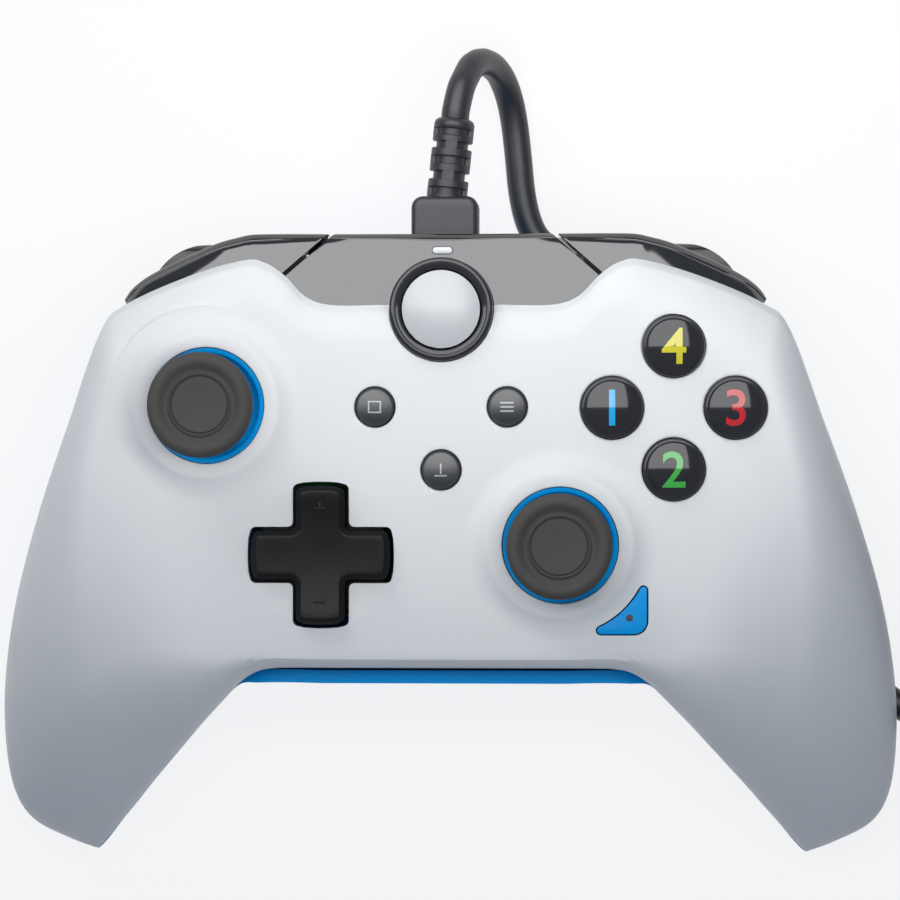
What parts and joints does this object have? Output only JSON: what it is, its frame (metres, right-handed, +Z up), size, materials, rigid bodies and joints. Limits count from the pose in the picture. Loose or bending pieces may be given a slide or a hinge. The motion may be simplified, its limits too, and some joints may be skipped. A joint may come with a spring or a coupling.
{
  "type": "wired gamepad controller",
  "caption": "Wired gamepad with a white and blue moulded housing, thumbsticks, direction pad, buttons, bumpers, triggers, rumble motors and a coiled cord.",
  "frame": {"origin": "on the table under the middle of the controller's own outline, cord left out", "axes": "+X to the player's right, +Y away from the player towards the cord, +Z up out of the face"},
  "size_m": [0.2398, 0.1401, 0.052],
  "materials": {
    "white_plastic": "fine satin moulded plastic",
    "blue_plastic": "satin moulded plastic",
    "black_gloss": "polished",
    "silver_plastic": "silver paint",
    "clear_light": "clear",
    "stick_rubber": "matt",
    "grey_plastic": "as moulded",
    "steel": "plated",
    "board_green": "solder mask",
    "chip_black": "as moulded",
    "silicone": "as moulded",
    "cord_rubber": "satin"
  },
  "bodies": {
    "housing": {"front_shell": "white_plastic", "back_shell": "blue_plastic", "left_stick_ring": "blue_plastic", "right_stick_ring": "blue_plastic", "accent_insert": "blue_plastic", "centre_panel": "black_gloss", "guide_bezel": "black_gloss", "status_light": "clear_light", "accent_light": "clear_light", "mid_frame": "grey_plastic", "dpad_post": "grey_plastic", "headset_jack": "grey_plastic", "left_stick_module": "grey_plastic", "right_stick_module": "grey_plastic", "left_trigger_pin": "steel", "right_trigger_pin": "steel", "left_trigger_spring": "steel", "right_trigger_spring": "steel", "left_rumble_motor": "steel", "right_rumble_motor": "steel", "usb_socket": "steel", "housing_screws": "steel", "usb_plug_shell": "steel", "main_board": "board_green", "board_components": "chip_black", "face_membrane": "silicone", "dpad_membrane": "silicone", "cord_plug": "cord_rubber", "cord_relief": "cord_rubber", "cord_lead": "cord_rubber", "cord_coil": "cord_rubber", "cord_tail": "cord_rubber", "cord_tie": "cord_rubber", "usb_plug_body": "cord_rubber"},
    "left_bumper": {"left_bumper": "black_gloss"},
    "right_bumper": {"right_bumper": "black_gloss"},
    "left_trigger": {"left_trigger": "black_gloss"},
    "right_trigger": {"right_trigger": "black_gloss"},
    "guide_button": {"guide_button": "silver_plastic"},
    "view_button": {"view_button": "black_gloss"},
    "menu_button": {"menu_button": "black_gloss"},
    "share_button": {"share_button": "black_gloss"},
    "top_button": {"top_button": "black_gloss"},
    "right_button": {"right_button": "black_gloss"},
    "bottom_button": {"bottom_button": "black_gloss"},
    "left_button": {"left_button": "black_gloss"},
    "dpad_pivot": {"dpad_pivot": "steel"},
    "dpad": {"dpad": "black_gloss"},
    "left_stick_yoke": {"left_stick_yoke": "grey_plastic"},
    "left_stick_pivot": {"left_stick_pivot": "steel"},
    "right_stick_yoke": {"right_stick_yoke": "grey_plastic"},
    "right_stick_pivot": {"right_stick_pivot": "steel"},
    "left_rumble_weight": {"left_rumble_weight": "steel"},
    "right_rumble_weight": {"right_rumble_weight": "steel"},
    "left_stick": {"left_stick_shaft": "steel", "left_stick_cap": "stick_rubber"},
    "right_stick": {"right_stick_shaft": "steel", "right_stick_cap": "stick_rubber"}
  },
  "joints": [
    {"name": "left_bumper_press", "type": "hinge", "parent": "housing", "child": "left_bumper", "pos_m": [-0.028, 0.04885, 0.0315], "axis": [0, 0, 1], "range_deg": [0, 2.5], "stiffness_Nm_per_rad": 0.5},
    {"name": "left_trigger_pull", "type": "hinge", "parent": "housing", "child": "left_trigger", "pos_m": [-0.039, 0.04215, 0.0248], "axis": [-1, 0, 0], "range_deg": [0, 18], "stiffness_Nm_per_rad": 0.1, "deforming": ["left_trigger_spring"]},
    {"name": "right_bumper_press", "type": "hinge", "parent": "housing", "child": "right_bumper", "pos_m": [0.028, 0.04885, 0.0315], "axis": [0, 0, -1], "range_deg": [0, 2.5], "stiffness_Nm_per_rad": 0.5},
    {"name": "right_trigger_pull", "type": "hinge", "parent": "housing", "child": "right_trigger", "pos_m": [0.039, 0.04215, 0.0248], "axis": [-1, 0, 0], "range_deg": [0, 18], "stiffness_Nm_per_rad": 0.1, "deforming": ["right_trigger_spring"]},
    {"name": "top_button_press", "type": "slide", "parent": "housing", "child": "top_button", "axis": [0, 0, -1], "range_m": [0, 0.0013], "stiffness_N_per_m": 400, "deforming": ["face_membrane"]},
    {"name": "right_button_press", "type": "slide", "parent": "housing", "child": "right_button", "axis": [0, 0, -1], "range_m": [0, 0.0013], "stiffness_N_per_m": 400, "deforming": ["face_membrane"]},
    {"name": "bottom_button_press", "type": "slide", "parent": "housing", "child": "bottom_button", "axis": [0, 0, -1], "range_m": [0, 0.0013], "stiffness_N_per_m": 400, "deforming": ["face_membrane"]},
    {"name": "left_button_press", "type": "slide", "parent": "housing", "child": "left_button", "axis": [0, 0, -1], "range_m": [0, 0.0013], "stiffness_N_per_m": 400, "deforming": ["face_membrane"]},
    {"name": "view_button_press", "type": "slide", "parent": "housing", "child": "view_button", "axis": [0, 0, -1], "range_m": [0, 0.0005], "stiffness_N_per_m": 600},
    {"name": "menu_button_press", "type": "slide", "parent": "housing", "child": "menu_button", "axis": [0, 0, -1], "range_m": [0, 0.0005], "stiffness_N_per_m": 600},
    {"name": "share_button_press", "type": "slide", "parent": "housing", "child": "share_button", "axis": [0, 0, -1], "range_m": [0, 0.0005], "stiffness_N_per_m": 600},
    {"name": "guide_button_press", "type": "slide", "parent": "housing", "child": "guide_button", "axis": [0, 0, -1], "range_m": [0, 0.0005], "stiffness_N_per_m": 600},
    {"name": "dpad_rock_up_down", "type": "hinge", "parent": "housing", "child": "dpad_pivot", "pos_m": [-0.0201, -0.00055, 0.0366], "axis": [1, 0, 0], "range_deg": [-4, 4], "stiffness_Nm_per_rad": 0.05, "deforming": ["dpad_membrane"]},
    {"name": "dpad_rock_left_right", "type": "hinge", "parent": "dpad_pivot", "child": "dpad", "pos_m": [-0.0201, -0.00055, 0.0366], "axis": [0, 1, 0], "range_deg": [-4, 4], "stiffness_Nm_per_rad": 0.05, "deforming": ["dpad_membrane"]},
    {"name": "left_stick_up_down", "type": "hinge", "parent": "housing", "child": "left_stick_yoke", "pos_m": [-0.0392, 0.0244, 0.0325], "axis": [1, 0, 0], "range_deg": [-18, 18], "stiffness_Nm_per_rad": 0.03},
    {"name": "left_stick_left_right", "type": "hinge", "parent": "left_stick_yoke", "child": "left_stick_pivot", "pos_m": [-0.0392, 0.0244, 0.0325], "axis": [0, 1, 0], "range_deg": [-18, 18], "stiffness_Nm_per_rad": 0.03},
    {"name": "left_stick_click", "type": "slide", "parent": "left_stick_pivot", "child": "left_stick", "axis": [0, 0, -1], "range_m": [0, 0.0006], "stiffness_N_per_m": 900},
    {"name": "right_stick_up_down", "type": "hinge", "parent": "housing", "child": "right_stick_yoke", "pos_m": [0.0199, 0.00115, 0.0325], "axis": [1, 0, 0], "range_deg": [-18, 18], "stiffness_Nm_per_rad": 0.03},
    {"name": "right_stick_left_right", "type": "hinge", "parent": "right_stick_yoke", "child": "right_stick_pivot", "pos_m": [0.0199, 0.00115, 0.0325], "axis": [0, 1, 0], "range_deg": [-18, 18], "stiffness_Nm_per_rad": 0.03},
    {"name": "right_stick_click", "type": "slide", "parent": "right_stick_pivot", "child": "right_stick", "axis": [0, 0, -1], "range_m": [0, 0.0006], "stiffness_N_per_m": 900},
    {"name": "left_rumble_spin", "type": "hinge", "parent": "housing", "child": "left_rumble_weight", "pos_m": [-0.055, 0.00565, 0.0215], "axis": [0, 1, 0], "continuous": true},
    {"name": "right_rumble_spin", "type": "hinge", "parent": "housing", "child": "right_rumble_weight", "pos_m": [0.055, 0.00565, 0.0215], "axis": [0, 1, 0], "continuous": true}
  ]
}
